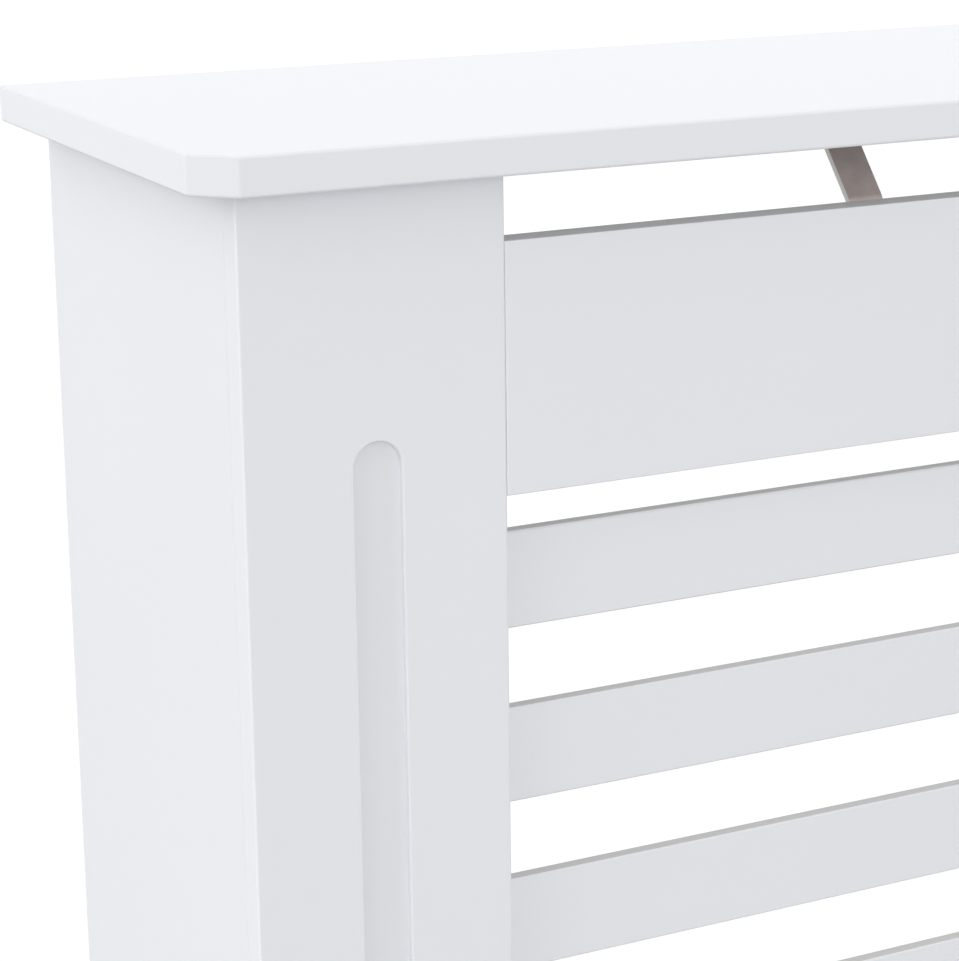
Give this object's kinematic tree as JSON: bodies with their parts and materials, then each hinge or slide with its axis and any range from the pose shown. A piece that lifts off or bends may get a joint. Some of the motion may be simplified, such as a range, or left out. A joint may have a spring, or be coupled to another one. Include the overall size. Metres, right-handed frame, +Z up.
{
  "type": "radiator cover cabinet",
  "caption": "Floor-standing radiator cover: chamfered shelf, side panels, grooved pilasters and horizontal slats between two rails.",
  "frame": {"origin": "on the floor, under the middle of the box round the whole cover", "axes": "+X to the right seen from the front, +Y from the front towards the wall, +Z up"},
  "size_m": [0.78, 0.19, 0.815],
  "materials": {
    "painted_board": "satin white paint on fibreboard",
    "bare_wood": "planed softwood",
    "dowel_wood": "turned beech",
    "strap_steel": "bare galvanised strip",
    "zinc_steel": "zinc plated",
    "screw_steel": "zinc plated"
  },
  "bodies": {
    "root": {"top_board": "painted_board", "left_side_panel": "painted_board", "right_side_panel": "painted_board", "left_pilaster": "painted_board", "right_pilaster": "painted_board", "top_rail": "painted_board", "bottom_rail": "painted_board", "grille_panel": "painted_board", "left_corner_batten": "bare_wood", "right_corner_batten": "bare_wood", "top_dowels": "dowel_wood", "left_rail_strap": "strap_steel", "right_rail_strap": "strap_steel", "left_top_joining_plate": "zinc_steel", "right_top_joining_plate": "zinc_steel", "left_bottom_joining_plate": "zinc_steel", "right_bottom_joining_plate": "zinc_steel", "left_front_angle_bracket": "zinc_steel", "right_front_angle_bracket": "zinc_steel", "left_rear_angle_bracket": "zinc_steel", "right_rear_angle_bracket": "zinc_steel", "left_wall_bracket": "zinc_steel", "right_wall_bracket": "zinc_steel", "batten_screws": "screw_steel", "grille_screws": "screw_steel", "plate_screws": "screw_steel", "bracket_screws": "screw_steel", "strap_screws": "screw_steel", "wall_bracket_screws": "screw_steel"}
  },
  "joints": []
}
